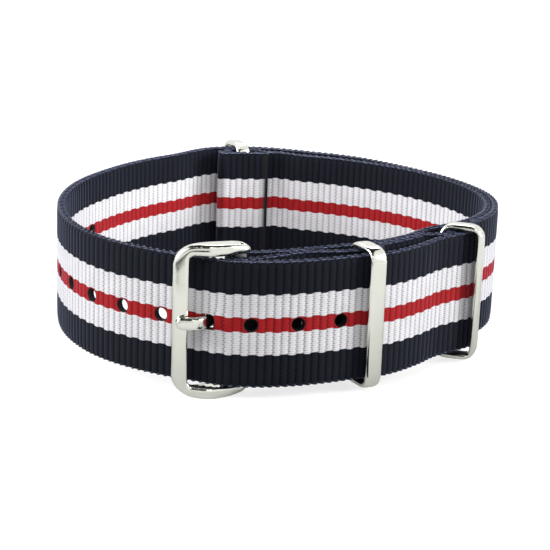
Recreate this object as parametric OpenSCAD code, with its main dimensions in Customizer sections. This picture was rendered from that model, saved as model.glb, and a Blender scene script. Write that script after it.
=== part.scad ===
// Pull-through woven nylon watch strap, closed into a loop and standing on its edge.
// X runs to the right, Y away from the buckle side, Z up across the webbing.
// Plan angles start at +X and turn towards +Y; the buckle side lies near -90 degrees.

/* [Webbing] */
// Width of the webbing, the size the strap is sold by
strap_w = 20; // [16:1:24]
// Thickness of the webbing
strap_t = 1.2; // [1:0.1:1.6]
// Gap between plies that lie on each other
ply_gap = 0.12; // [0.05:0.01:0.2]
// Mean radius of the closed loop, to the middle of its inner ply
loop_r = 34; // [30:0.5:40]
// How far the long strap bows out from the short one at the back
back_bow = 2; // [1.5:0.1:4]
// How far the tail bows out from the long strap between the front and side keepers
tail_bow = 2.3; // [1:0.1:3]

/* [Adjustment holes] */
// Diameter of a hole
hole_d = 2; // [1.6:0.1:2.2]
// Distance from hole to hole along the strap
hole_pitch = 7.1; // [6:0.1:8]
// Number of holes on the wrist side of the one in use
holes_before = 9; // [5:1:9]
// Number of holes on the tail
holes_after = 3; // [2:1:3]
// Free length of the hole that the tongue has drawn out
drawn_hole = 2.7; // [2.6:0.1:3.2]
// How far the row of holes lags behind the place where the tongue goes through
hole_lag = 0.5; // [0:0.1:0.8]

/* [Buckle] */
// Plan angle of the spring bar
bar_angle = -98.5; // [-100:0.5:-97]
// Thickness of each side arm
arm_t = 1.7; // [1.4:0.1:2]
// Gap between an arm and the edge of the webbing
arm_gap = 0.3; // [0.2:0.05:0.4]
// Depth of an arm, square to its length
arm_d = 3; // [2.4:0.1:3.2]
// How far each arm bows away from the wrist
arm_bow = 1; // [0.4:0.1:1.4]
// Width of the front bar
front_w = 2.3; // [2:0.1:2.8]
// Thickness of the front bar
front_t = 1.5; // [1.2:0.1:1.8]
// Gap between the middle of the front bar and the webbing under it
front_gap = 0.6; // [0.5:0.05:0.8]
// Centre of the spring bar to the centre of the front bar
frame_reach = 9.2; // [8.8:0.1:9.6]
// Outer corner radius of the frame, seen from the front
frame_corner = 3.8; // [3:0.1:5]
// Length over which each arm narrows towards the spring bar
eye_taper_l = 5; // [4:0.1:6]
// How much each arm narrows there, seen from the front
eye_taper = 1.2; // [0.6:0.1:1.3]

/* [Tongue] */
// Diameter of the tongue
tongue_d = 1.5; // [1.4:0.1:1.8]
// How far the tongue reaches past the middle of the front bar
tongue_past = 0.9; // [0.6:0.1:1.3]

/* [Spring bar] */
// Diameter of the bar's tube
tube_d = 1.8; // [1.6:0.1:2]
// Wall of the tube
tube_wall = 0.25; // [0.2:0.05:0.3]
// Diameter of the pivots at its ends
pivot_d = 0.9; // [0.8:0.05:1]
// How deep each pivot stands in its arm
pivot_hold = 1.1; // [0.9:0.1:1.3]
// Diameter of the spring's wire
spring_wire = 0.22; // [0.18:0.01:0.25]
// Number of turns of the spring
spring_turns = 12; // [8:1:14]
// Gap all round a part that runs in another
run_gap = 0.05; // [0.02:0.01:0.08]

/* [Keepers] */
// Width of the steel strip that the keepers are bent from
strip_w = 2.8; // [2.4:0.1:3]
// Thickness of the strip
strip_t = 1; // [0.9:0.1:1.3]
// Depth of a keeper's opening
keeper_open = 5.2; // [5:0.1:5.6]
// Height of a keeper's opening over the width of the webbing
keeper_play = 0.6; // [0.4:0.1:1.4]
// Outer corner radius of a keeper
keeper_corner = 2.2; // [1.8:0.1:2.4]
// Inner corner radius of a keeper
keeper_fillet = 0.5; // [0.3:0.1:0.6]
// Gap round a keeper's bar in its pocket
pocket_gap = 0.13; // [0.08:0.01:0.16]
// Length of webbing that opens up on each side of a keeper's bar
pocket_run = 6; // [5:0.5:8]
// Plan angle of the front keeper
front_keeper_angle = -65.7; // [-68:0.1:-63]
// Plan angle of the side keeper
side_keeper_angle = -29.5; // [-32:0.5:-27]
// Plan angle of the back keeper
back_keeper_angle = 100; // [97:0.5:102]
// How far the front keeper can tilt either way from square to the webbing
front_tilt = 14; // [6:1:15]
// How far the side keeper can tilt either way
side_tilt = 32; // [20:1:32]
// How far the back keeper can tilt either way
back_tilt = 20; // [14:1:22]
// Tilt at which the front keeper rests
front_lean = 4; // [0:1:6]
// Room that is left past the resting tilt of the side and back keepers
lean_spare = 2; // [1:0.5:4]

/* [Strap ends] */
// Plan angle at which the folded end behind the buckle stops
fold_end_angle = -79; // [-81:1:-78]
// Gap between that end and the start of the short strap
butt_gap = 0.3; // [0.2:0.1:0.6]
// Plan angle of the tail's tip
tip_angle = 337; // [333:1:340]
// Length of the short strap's folded end, from its fold to its cut edge
flap_len = 8.8; // [8:0.1:10]
// Distance from the back keeper's bar to the fold of the short strap
flap_fold = 3.4; // [3.2:0.1:4.6]

/* [Hidden] */
$fn = 48;

// Inner ply of the loop: how far its radius differs from loop_r at each plan angle
shape_knots = [[-105, 0.3], [-98, -0.75], [-90, -2.2], [-80, -4], [-70, -5], [-60, -5.1],
    [-45, -5.3], [-31, -5.4], [-20, -2.8], [-10, -0.4], [0, 1.4], [15, 2.9], [30, 3], [45, 2.9],
    [60, 2.9], [75, 3.1], [90, 3.8], [105, 4.2], [120, 3.4], [135, 1.8], [150, 0.7], [165, 0.6],
    [180, 0.8], [195, 1.4], [210, 2.2], [225, 2.8], [240, 2.7], [255, 2.6]];

// Heights: the buckle stands on the table, the keepers hang on the top edge of the webbing
buckle_h = strap_w + 2 * (arm_t + arm_gap);
strap_z = arm_t + arm_gap;
mid_z = strap_z + strap_w / 2;
keeper_h = strap_w + keeper_play + 2 * strip_t;
edge_gap = 0.1;
keeper_z = max(0, strap_z + strap_w + edge_gap + strip_t - keeper_h);

// Spacing of plies that lie on each other, middle to middle
ply = strap_t + ply_gap;
half_t = strap_t / 2;

// Small tool values
path_step = 2;
cut_over = 0.4;
arc_turn = 10;
full_turn = 360;
lean_span = 3;

function clamp(v, lo, hi) = min(max(v, lo), hi);
function polar(r, a) = [r * cos(a), r * sin(a)];
function out_dir(a) = [cos(a), sin(a)];
function on_dir(a) = [-sin(a), cos(a)];
function mm_angle(s, r) = s / r * 180 / PI;
function flip(list) = [for (i = [len(list) - 1 : -1 : 0]) list[i]];

// Smooth curve through [angle, value] knots
function knot_slope(k, i) = i == 0 || i == len(k) - 1 ? 0
    : (k[i + 1][1] - k[i - 1][1]) / (k[i + 1][0] - k[i - 1][0]);
function hermite(p, q, m, n, w, f) = (2 * pow(f, 3) - 3 * pow(f, 2) + 1) * p
    + (pow(f, 3) - 2 * pow(f, 2) + f) * w * m
    + (3 * pow(f, 2) - 2 * pow(f, 3)) * q + (pow(f, 3) - pow(f, 2)) * w * n;
function knot_before(k, a) = max([0, for (i = [0 : len(k) - 2]) if (k[i][0] <= a) i]);
function spline(k, a) = let (
        b = clamp(a, k[0][0], k[len(k) - 1][0]),
        i = knot_before(k, b),
        w = k[i + 1][0] - k[i][0])
    hermite(k[i][1], k[i + 1][1], knot_slope(k, i), knot_slope(k, i + 1), w, (b - k[i][0]) / w);

// Steps that ease from one value to the next, level at each knot
function ease(k, a) = let (
        b = clamp(a, k[0][0], k[len(k) - 1][0]),
        i = knot_before(k, b),
        f = (b - k[i][0]) / (k[i + 1][0] - k[i][0]))
    k[i][1] + (k[i + 1][1] - k[i][1]) * (3 - 2 * f) * f * f;

// Radius of the inner ply at a plan angle
function inner_r(a) = loop_r + spline(shape_knots, a);

// Half the room that a keeper's flat bar needs to turn by its tilt either way
function bar_room(tilt) = strip_w / 2 * sin(tilt) + strip_t / 2 * cos(tilt) + pocket_gap;
function bar_lift(tilt) = half_t + bar_room(tilt);
// Highest place for the ply under a keeper's outer bar, above the keeper's bar
function under_bar(tilt) = (strip_t / 2 + keeper_open) * cos(tilt) - strip_w / 2 * sin(tilt)
    - half_t - pocket_gap;

// Fold of the long strap round the spring bar
fold_gap = 0.4;
fold_r = tube_d / 2 + fold_gap + half_t;
bar_r = inner_r(bar_angle) + fold_r;
bar_at = polar(bar_r, bar_angle);
over_fold = 0.15;

// Room along the webbing that a pocket takes, in degrees
flat_turn = mm_angle(strip_w / 2 + 2 * pocket_gap, loop_r);
run_turn = mm_angle(pocket_run, loop_r);

// Fold and cut end of the short strap
fold_room = 0.35;
tip_r = half_t + fold_room;
fold_turn = mm_angle(flap_fold, inner_r(back_keeper_angle));
tip_at = back_keeper_angle + fold_turn;
flap_end = tip_at - mm_angle(flap_len, inner_r(back_keeper_angle));

// Lift of the short strap's outer ply over the inner ply's line
flap_rise = 9;
flap_lead = 1.5;
flap_hold = 0.5;
short_knots = [
    [flap_end - flap_rise, 0],
    [flap_end - flap_lead, ply],
    [flap_end + flap_hold, ply],
    [back_keeper_angle - flat_turn, 2 * bar_lift(back_tilt)],
    [back_keeper_angle + flat_turn, 2 * bar_lift(back_tilt)],
    [tip_at, 2 * tip_r]];
function short_r(a) = inner_r(a) + square_to(a, ease(short_knots, a));

// Lift of the long strap over the inner ply's line, from the fold to the start of the front
settle_turn = 3;
settle_gap = 0.2;
side_run = 1.4;
bow_start = 45;
bow_full = 78;
bow_end = 18;
long_knots = [
    [bar_angle, 2 * fold_r],
    [fold_end_angle - settle_turn, ply + settle_gap],
    [front_keeper_angle - flat_turn, 2 * bar_lift(front_tilt)],
    [front_keeper_angle + flat_turn, 2 * bar_lift(front_tilt)],
    [front_keeper_angle + run_turn, ply],
    [side_keeper_angle - run_turn, ply],
    [side_keeper_angle - flat_turn, 2 * bar_lift(side_tilt)],
    [side_keeper_angle + flat_turn, 2 * bar_lift(side_tilt)],
    [side_keeper_angle + side_run * run_turn, ply],
    [bow_start, ply],
    [bow_full, ply + back_bow],
    [back_keeper_angle - flat_turn, 2 * bar_lift(back_tilt) + ply + 2 * pocket_gap],
    [tip_at, 2 * bar_lift(back_tilt) + ply + 2 * pocket_gap],
    [tip_at + bow_end, ply]];
front_start = 240;
function long_r(a) = inner_r(a) + square_to(a, ease(long_knots, a));

// A place on the tail under a keeper's outer bar, as an angle and a radius
function tail_place(a, tilt, along) = let (p = keeper_at(a, tilt)
        + under_bar(tilt) * out_dir(facing(a)) + along * on_dir(facing(a)))
    [full_turn + atan2(p[1], p[0]), norm(p)];
function bar_sweep(tilt) = (strip_t / 2 + keeper_open) * sin(tilt) + strip_w / 2 * cos(tilt);

// Radius of the front stretch: over the fold, then the tail under the two keepers
between_keepers = (front_keeper_angle + side_keeper_angle) / 2;
tip_past = 9;
front_lead = 15;
bar_lead = 9.5;
lead_lift = 0.1;
tail_knots = [
    [front_start - front_lead, long_r(front_start - front_lead)],
    [front_start, long_r(front_start)],
    [bar_angle + full_turn - bar_lead, long_r(bar_angle + full_turn - bar_lead) + lead_lift],
    [bar_angle + full_turn, bar_r + fold_r + strap_t + over_fold],
    tail_place(front_keeper_angle, front_tilt, -bar_sweep(front_tilt)),
    tail_place(front_keeper_angle, front_tilt, bar_sweep(front_tilt)),
    [between_keepers + full_turn, inner_r(between_keepers) + 2 * ply + tail_bow],
    tail_place(side_keeper_angle, side_tilt, -bar_sweep(side_tilt)),
    tail_place(side_keeper_angle, side_tilt, bar_sweep(side_tilt)),
    tail_place(side_keeper_angle, side_tilt, tip_past)];
function strap_r(a) = a < front_start ? long_r(a) : spline(tail_knots, a);

// Middle line of the long strap: fold-back, fold, round the loop, tail
long_path = concat(
    [for (a = [fold_end_angle : -path_step : bar_angle + path_step / 2]) polar(inner_r(a), a)],
    [for (a = [0 : arc_turn : 180]) bar_at
        + fold_r * (-cos(a) * out_dir(bar_angle) - sin(a) * on_dir(bar_angle))],
    [for (a = [bar_angle + path_step : path_step : tip_angle]) polar(strap_r(a), a)]);

// Middle line of the short strap: from behind the buckle to its fold at the back, and the flap
short_start = fold_end_angle + mm_angle(butt_gap, inner_r(fold_end_angle));
short_path = concat(
    [for (a = [short_start : path_step : tip_at - path_step / 2]) polar(short_r(a), a)],
    [for (a = [0 : arc_turn * 2 : 180]) polar(inner_r(tip_at) + tip_r, tip_at)
        + tip_r * (cos(a) * out_dir(tip_at) + sin(a) * on_dir(tip_at))],
    [for (a = [tip_at - path_step : -path_step : flap_end]) polar(inner_r(a), a)]);

// Outline of a ply of webbing along a middle line
function path_dir(p, i) = let (d = p[min(i + 1, len(p) - 1)] - p[max(i - 1, 0)]) d / norm(d);
function path_side(p, s) = [for (i = [0 : len(p) - 1])
    let (d = path_dir(p, i)) p[i] + s * [-d[1], d[0]]];
module band(p, half) { polygon(concat(path_side(p, half), flip(path_side(p, -half)))); }
module webbing(p) { translate([0, 0, strap_z]) linear_extrude(strap_w) band(p, half_t); }

// Which way the webbing faces at a plan angle, and how much longer a radial step is than a square one
function lean_of_ply(a) = atan((inner_r(a + lean_span) - inner_r(a - lean_span))
    / (2 * lean_span * PI / 180) / inner_r(a));
function facing(a) = a - lean_of_ply(a);
function square_to(a, s) = s / cos(lean_of_ply(a));

// Where a keeper's bar stands and the corners of its outline, seen from above
function keeper_at(a, tilt) = polar(inner_r(a) + square_to(a, bar_lift(tilt)), a);
function keeper_corners(a, tilt, lean) = let (
        d = out_dir(facing(a) + lean), s = on_dir(facing(a) + lean), c = keeper_at(a, tilt))
    [for (u = [-strip_t / 2, keeper_open + 1.5 * strip_t], v = [-strip_w / 2, strip_w / 2])
        c + u * d + v * s];

// Buckle frame: local x runs from the spring bar to the front bar, local y away from the wrist
front_bar_turn = 12;
front_r = strap_r(bar_angle + full_turn - front_bar_turn) + half_t + front_gap + front_t / 2;
front_turn = acos((bar_r * bar_r + front_r * front_r - frame_reach * frame_reach)
    / (2 * bar_r * front_r));
front_at = polar(front_r, bar_angle - front_turn);
frame_angle = atan2(front_at[1] - bar_at[1], front_at[0] - bar_at[0]);
front_in = frame_reach - front_w / 2;
front_out = frame_reach + front_w / 2;
frame_fillet = 0.8;
nose = 0.7;
function frame_point(x, y) = bar_at + x * out_dir(frame_angle) + y * on_dir(frame_angle);
function arm_y(x) = arm_bow * sin(180 * x / frame_reach);

// Tongue: a bent strip that rises through its hole and lies on the front bar
tongue_flat = 0.2;
tongue_t = tongue_d - tongue_flat;
rest_gap = 0.06;
tongue_spread = 0.4;
tongue_w = tongue_d + tongue_spread;
tongue_top = front_t / 2 + rest_gap + tongue_t / 2;
tongue_end = frame_reach + tongue_past;
tongue_step = 0.3;
eye_wall = 0.6;
eye_r = tube_d / 2 + run_gap + eye_wall;
eye_rim = 0.15;
eye_h = tongue_w + 2 * eye_rim;
tongue_start = 0.4;
rise_start = 3.4;
rise_end = 0.45;
rise_knots = [[rise_start, 0], [front_in - rise_end, 1]];
tongue_xs = [for (x = [tongue_start : tongue_step : tongue_end]) x];
function tongue_y(x) = ease(rise_knots, x) * (arm_y(x) + tongue_top);
function tongue_angle(x) = let (p = frame_point(x, tongue_y(x))) atan2(p[1], p[0]) + full_turn;

// The tongue goes through the tail where its middle line meets the webbing's
through_xs = [for (x = tongue_xs)
    if (norm(frame_point(x, tongue_y(x))) > strap_r(tongue_angle(x))) x];
cross_angle = tongue_angle(through_xs[0] - tongue_step / 2);
hole_turn = mm_angle(hole_pitch, strap_r(cross_angle));
hole_mark = cross_angle - mm_angle(hole_lag, strap_r(cross_angle));
drawn_shift = 0.4;
drawn_turn = mm_angle(drawn_shift, strap_r(cross_angle));
drawn_play = 0.15;
drawn_w = tongue_w + 2 * drawn_play;
drawn_corner = 0.7;

// Slot in the fold, which follows the webbing round the tongue's eye
slot_half = half_t + over_fold / 2;
slot_h = eye_h + 2 * arm_gap;
slot_reach = norm([fold_r, eye_r + 2 * arm_gap]);
slot_path = [for (p = long_path) if (norm(p - bar_at) < slot_reach) p];

// Spring bar
bar_end_gap = 0.1;
tube_z = arm_t + bar_end_gap;
tube_h = buckle_h - 2 * tube_z;
tube_end = 0.5;
shoulder_h = 1.6;
shoulder_d = tube_d - 2 * tube_wall - 2 * run_gap;
seat_gap = 0.02;
tip_h = tube_end + seat_gap + bar_end_gap + pivot_hold;
spring_lo = tube_z + tube_end + seat_gap + shoulder_h;
spring_h = tube_h - 2 * (tube_end + seat_gap + shoulder_h);
spring_r = (shoulder_d - spring_wire) / 2;

// Middle of the whole strap in plan, so that it stands over the origin
reach_points = concat(
    path_side(long_path, half_t), path_side(long_path, -half_t),
    keeper_corners(front_keeper_angle, front_tilt, front_lean),
    keeper_corners(side_keeper_angle, side_tilt, side_tilt - lean_spare),
    keeper_corners(back_keeper_angle, back_tilt, back_tilt - lean_spare),
    [frame_point(tongue_end, tongue_top + tongue_t / 2), frame_point(front_out - nose, -front_t / 2)]);
reach_x = [for (p = reach_points) p[0]];
reach_y = [for (p = reach_points) p[1]];
centre = [(min(reach_x) + max(reach_x)) / 2, (min(reach_y) + max(reach_y)) / 2];

// Rounded rectangle with its low corner at the origin
function corner(x, y, r, a0) = [for (a = [0 : arc_turn : 90]) [x, y] + r * out_dir(a0 + a)];
function round_rect(w, h, r) = concat(corner(w - r, r, r, -90), corner(w - r, h - r, r, 0),
    corner(r, h - r, r, 90), corner(r, r, r, 180));

module centred() { translate([-centre[0], -centre[1], 0]) children(); }
module at_bar(turn) { translate([bar_at[0], bar_at[1], 0]) rotate(turn) children(); }

// Stands its children in the middle of the tail's webbing, facing straight through it
module in_strap(a) {
    place = polar(strap_r(a), a);
    translate([place[0], place[1], mid_z]) rotate(a - slope_at(a)) rotate([0, 90, 0]) children();
}
// The punch stops short of the folded ply that lies under the tail
punch_over = 0.8 * over_fold;
hole_deep = strap_t + 2 * punch_over;
module round_hole(a) {
    in_strap(a) cylinder(d = hole_d, h = hole_deep, center = true);
}
// The hole in use, drawn out along the strap by the tongue
module tongue_hole(a) {
    in_strap(a) translate([-drawn_w / 2, -drawn_hole / 2, 0])
        linear_extrude(hole_deep, center = true) polygon(round_rect(drawn_w, drawn_hole, drawn_corner));
}
function slope_at(a) = atan((strap_r(a + 1) - strap_r(a - 1)) / (2 * PI / 180) / strap_r(a));

// Long strap: folded round the spring bar, once round the wrist, and on as the tail
module main_strap() {
    color("midnightblue") centred() difference() {
        webbing(long_path);
        for (i = [1 : holes_before]) round_hole(hole_mark - i * hole_turn);
        for (i = [1 : holes_after]) round_hole(hole_mark + i * hole_turn);
        tongue_hole(cross_angle + drawn_turn);
        translate([0, 0, mid_z - slot_h / 2]) linear_extrude(slot_h) band(slot_path, slot_half);
    }
}

// Short strap: lies inside the long one and folds round the back keeper
module short_strap() {
    color("midnightblue") centred() webbing(short_path);
}

// Frame seen from the front, open towards the spring bar, with arms that narrow to the bar's eyes
eye_end = -arm_d / 2;
function taper(a) = [eye_end + eye_taper_l * (1 - sin(a)), eye_taper * (1 - cos(a))];
function frame_outline() = let (h = buckle_h, x = front_out - frame_corner, r = frame_corner,
        u = front_in - frame_fillet, f = frame_fillet,
        low = [for (a = [90 : -arc_turn : 0]) taper(a)])
    concat([[-arm_d, eye_taper]], low,
        corner(x, r, r, -90), corner(x, h - r, r, 0),
        [for (p = flip(low)) [p[0], h - p[1]]],
        [[-arm_d, h - eye_taper], [-arm_d, h - arm_t]],
        flip(corner(u, h - arm_t - f, f, 0)), flip(corner(u, arm_t + f, f, -90)),
        [[-arm_d, arm_t]]);

// Frame seen from above: round eyes, arms that thin towards the front bar, a rounded nose
arm_knots = [[0, arm_d / 2], [0.5 * frame_reach, arm_d / 2], [front_in, front_t / 2]];
function nose_share(x) = clamp((x - front_out + nose) / nose, 0, 1);
function arm_half(x) = ease(arm_knots, x) * sqrt(1 - pow(nose_share(x), 2));
arm_steps = 24;
arm_xs = [for (i = [0 : arm_steps - 1]) front_out * i / arm_steps];
function arm_outline() = concat([for (x = arm_xs) [x, arm_y(x) - arm_half(x)]],
    [[front_out, arm_y(front_out)]],
    [for (x = flip(arm_xs)) [x, arm_y(x) + arm_half(x)]],
    [for (a = [90 + arc_turn : arc_turn : 270 - arc_turn]) arm_d / 2 * out_dir(a)]);

module buckle_frame() {
    color("gainsboro") centred() at_bar(frame_angle) difference() {
        intersection() {
            translate([0, arm_d, 0]) rotate([90, 0, 0])
                linear_extrude(2 * arm_d) polygon(frame_outline());
            linear_extrude(buckle_h) polygon(arm_outline());
        }
        translate([0, 0, -cut_over])
            cylinder(d = pivot_d + 2 * run_gap, h = buckle_h + 2 * cut_over);
    }
}

// Tongue seen from the side and from the front
function tongue_side() = concat([for (x = tongue_xs) [x, tongue_y(x) - tongue_t / 2]],
    [for (x = flip(tongue_xs)) [x, tongue_y(x) + tongue_t / 2]]);
function tongue_front() = concat([[0, -tongue_w / 2]],
    corner(tongue_end - tongue_w / 2, 0, tongue_w / 2, -90),
    corner(tongue_end - tongue_w / 2, 0, tongue_w / 2, 0), [[0, tongue_w / 2]]);

module buckle_tongue() {
    color("gainsboro") centred() at_bar(frame_angle) translate([0, 0, mid_z]) difference() {
        union() {
            cylinder(r = eye_r, h = eye_h, center = true);
            intersection() {
                linear_extrude(eye_h, center = true) polygon(tongue_side());
                rotate([90, 0, 0]) linear_extrude(4 * tongue_top, center = true)
                    polygon(tongue_front());
            }
        }
        cylinder(r = tube_d / 2 + run_gap, h = eye_h + cut_over, center = true);
    }
}

// Spring bar: a tube with closed ends, a sprung pivot at each end and one spring between them
module bar_tube() {
    color("silver") centred() at_bar(0) translate([0, 0, tube_z]) difference() {
        cylinder(d = tube_d, h = tube_h);
        translate([0, 0, tube_end]) cylinder(d = tube_d - 2 * tube_wall, h = tube_h - 2 * tube_end);
        translate([0, 0, -cut_over]) cylinder(d = pivot_d + 2 * run_gap, h = tube_h + 2 * cut_over);
    }
}
module pivot() {
    cylinder(d = shoulder_d, h = shoulder_h);
    cylinder(d = pivot_d, h = shoulder_h + tip_h);
}
module upper_pivot() {
    color("silver") centred() at_bar(0) translate([0, 0, spring_lo + spring_h]) pivot();
}
module lower_pivot() {
    color("silver") centred() at_bar(0) translate([0, 0, spring_lo]) mirror([0, 0, 1]) pivot();
}

// Spring: one wire swept along a helix, with its ends against the pivots' shoulders
spring_steps = 12;
wire_sides = 6;
function spring_point(i, j) = let (
        n = spring_turns * spring_steps,
        a = i * full_turn / spring_steps,
        r = spring_r + spring_wire / 2 * cos(j * full_turn / wire_sides),
        z = spring_wire / 2 + seat_gap + (spring_h - spring_wire - 2 * seat_gap) * i / n)
    [r * cos(a), r * sin(a), z + spring_wire / 2 * sin(j * full_turn / wire_sides)];
module bar_spring() {
    n = spring_turns * spring_steps;
    color("silver") centred() at_bar(0) translate([0, 0, spring_lo]) polyhedron(
        points = [for (i = [0 : n], j = [0 : wire_sides - 1]) spring_point(i, j)],
        faces = concat([[for (j = [0 : wire_sides - 1]) j]],
            [[for (j = [wire_sides - 1 : -1 : 0]) n * wire_sides + j]],
            [for (i = [0 : n - 1], j = [0 : wire_sides - 1], h = [0, 1]) let (
                    a = i * wire_sides + j, b = i * wire_sides + (j + 1) % wire_sides)
                h == 0 ? [a, a + wire_sides, b] : [b, a + wire_sides, b + wire_sides]]));
}

// Keeper: a ring of flat steel strip, held by its inner bar between two plies
module keeper(a, tilt, lean) {
    place = keeper_at(a, tilt);
    translate([place[0], place[1], keeper_z]) rotate(facing(a) + lean)
        translate([-strip_t / 2, strip_w / 2, 0]) rotate([90, 0, 0]) linear_extrude(strip_w)
            difference() {
                polygon(round_rect(keeper_open + 2 * strip_t, keeper_h, keeper_corner));
                translate([strip_t, strip_t])
                    polygon(round_rect(keeper_open, keeper_h - 2 * strip_t, keeper_fillet));
            }
}
module front_keeper() {
    color("gainsboro") centred() keeper(front_keeper_angle, front_tilt, front_lean);
}
module side_keeper() {
    color("gainsboro") centred() keeper(side_keeper_angle, side_tilt, side_tilt - lean_spare);
}
module back_keeper() {
    color("gainsboro") centred() keeper(back_keeper_angle, back_tilt, back_tilt - lean_spare);
}

echo(bar = bar_at - centre, front = keeper_at(front_keeper_angle, front_tilt) - centre,
    side = keeper_at(side_keeper_angle, side_tilt) - centre,
    back = keeper_at(back_keeper_angle, back_tilt) - centre,
    centre = centre, spring_lo = spring_lo, spring_h = spring_h);

main_strap();
short_strap();
buckle_frame();
buckle_tongue();
bar_tube();
upper_pivot();
lower_pivot();
bar_spring();
front_keeper();
side_keeper();
back_keeper();
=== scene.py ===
"""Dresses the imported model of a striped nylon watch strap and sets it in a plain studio.

The webbing is woven here over the middle lines of its CAD solids, with ribs, a cord along each
edge, and melted holes and ends. The steel pieces keep their CAD shapes, with edges worn round.
"""

import logging
import math
from dataclasses import dataclass, field
from enum import Enum

import bmesh
import bpy
import numpy as np
from mathutils import Matrix, Vector


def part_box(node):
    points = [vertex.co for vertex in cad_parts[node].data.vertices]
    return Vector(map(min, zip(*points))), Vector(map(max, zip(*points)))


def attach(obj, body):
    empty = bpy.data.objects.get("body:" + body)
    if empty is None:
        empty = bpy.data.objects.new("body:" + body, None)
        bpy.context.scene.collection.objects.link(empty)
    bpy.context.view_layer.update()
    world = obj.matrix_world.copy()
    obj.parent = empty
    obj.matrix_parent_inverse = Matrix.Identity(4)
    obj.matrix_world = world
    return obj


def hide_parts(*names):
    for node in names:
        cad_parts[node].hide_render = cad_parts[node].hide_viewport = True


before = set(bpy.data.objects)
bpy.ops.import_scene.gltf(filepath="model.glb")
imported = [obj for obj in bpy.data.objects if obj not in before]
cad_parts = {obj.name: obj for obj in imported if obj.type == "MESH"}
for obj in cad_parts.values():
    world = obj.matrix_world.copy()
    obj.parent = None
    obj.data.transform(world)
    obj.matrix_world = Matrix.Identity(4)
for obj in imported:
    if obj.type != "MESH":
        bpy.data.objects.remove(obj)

LOG = logging.getLogger("watch_strap")
MM = 0.001
NYLON_IOR = 1.53
# A hole's corner radius, as a share of its smaller half size.
ROUNDED = 0.98
# A distance in metres that is further than anything on the strap.
FAR = 1.0


class Stripe(Enum):
    """Yarn colours of the webbing, as sRGB hex values."""

    NAVY = "11141f"
    WHITE = "dddce0"
    RED = "a21c20"


def to_linear(hex_colour: str) -> tuple[float, float, float, float]:
    """Turns an sRGB hex value to the linear colour that a shader takes.

    Args:
        hex_colour: Six hex digits.

    Returns:
        Red, green, blue and an alpha of one.
    """
    parts = [int(hex_colour[i : i + 2], 16) / 255 for i in (0, 2, 4)]
    line = [p / 12.92 if p <= 0.04045 else ((p + 0.055) / 1.055) ** 2.4 for p in parts]
    return (line[0], line[1], line[2], 1.0)


@dataclass(frozen=True)
class WeaveSizes:
    """Sizes of the weave, in metres, and how finely it is meshed.

    A rib is one weft thread with the valley beside it, and warp is the width of one yarn of the
    face. A strand of an edge cord is cord_bulge times as wide as it is tall. The last four say
    how many steps a rib has, how many rows of points lie across the webbing, and how many rings
    a rib and sides a ring have in a cord.
    """

    rib: float = 1.19 * MM
    warp: float = 0.34 * MM
    relief: float = 0.11 * MM
    edge_stripe: float = 5.3 * MM
    red_stripe: float = 2.2 * MM
    boundary_wave: float = 0.1 * MM
    edge_inset: float = 0.26 * MM
    edge_thinning: float = 0.24 * MM
    edge_reach: float = 0.7 * MM
    cord_strand: float = 0.19 * MM
    cord_rise: float = 0.1 * MM
    cord_bulge: float = 1.12
    steps_per_rib: int = 8
    rows: int = 58
    cord_rings: int = 7
    cord_sides: int = 6


class Nodes:
    """A node tree and the small function that adds nodes to it."""

    def __init__(self, tree: bpy.types.NodeTree) -> None:
        """Takes over a tree and empties it.

        Args:
            tree: The node tree of a material or a world.
        """
        self.tree = tree
        self.tree.nodes.clear()

    def add(self, kind: str, links: dict | None = None, **settings: object) -> bpy.types.Node:
        """Adds a node with its settings and links.

        Args:
            kind: The node's type name, without its ShaderNode prefix.
            links: Input name or number to a value, or to an output socket to link.
            settings: Attributes of the node.

        Returns:
            The new node.
        """
        node = self.tree.nodes.new("ShaderNode" + kind)
        for key, value in settings.items():
            setattr(node, key, value)
        for key, value in (links or {}).items():
            if isinstance(value, bpy.types.NodeSocket):
                self.tree.links.new(value, node.inputs[key])
            else:
                node.inputs[key].default_value = value
        return node

    def math(self, operation: str, *values: object) -> bpy.types.NodeSocket:
        """Adds a math step.

        Args:
            operation: The math node's operation.
            values: Numbers or output sockets.

        Returns:
            The output socket.
        """
        return self.add("Math", dict(enumerate(values)), operation=operation).outputs[0]

    def span(
        self, value: bpy.types.NodeSocket, low: float, high: float, start: float, end: float,
        smooth: bool = False,
    ) -> bpy.types.NodeSocket:
        """Maps a range to another one and clamps it.

        Args:
            value: The socket to map.
            low: Input value that gives start.
            high: Input value that gives end.
            start: First result.
            end: Last result.
            smooth: Whether the change eases in and out.

        Returns:
            The output socket.
        """
        links = {"Value": value, "From Min": low, "From Max": high, "To Min": start, "To Max": end}
        ease = "SMOOTHSTEP" if smooth else "LINEAR"
        return self.add("MapRange", links, interpolation_type=ease).outputs[0]


class Shader(Nodes):
    """A new material, named for what it is made of."""

    def __init__(self, name: str) -> None:
        """Starts an empty material.

        Args:
            name: What the material is made of and how.
        """
        self.material = bpy.data.materials.new(name)
        self.material.use_nodes = True
        super().__init__(self.material.node_tree)

    def bump(
        self, height: bpy.types.NodeSocket, depth: float, strength: float = 1.0, **links: object
    ) -> bpy.types.NodeSocket:
        """Adds a bump.

        Args:
            height: The height socket, from zero to one.
            depth: The depth that a height of one stands for, in metres.
            strength: Share of the bump that is used.
            links: More inputs of the bump node, by name.

        Returns:
            The normal socket.
        """
        inputs = {"Height": height, "Distance": depth, "Strength": strength, **links}
        return self.add("Bump", inputs).outputs[0]

    def finish(self, surface: bpy.types.NodeSocket) -> bpy.types.Material:
        """Links the surface to the output.

        Args:
            surface: The shader's output socket.

        Returns:
            The material.
        """
        self.add("OutputMaterial", {"Surface": surface})
        return self.material


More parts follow.
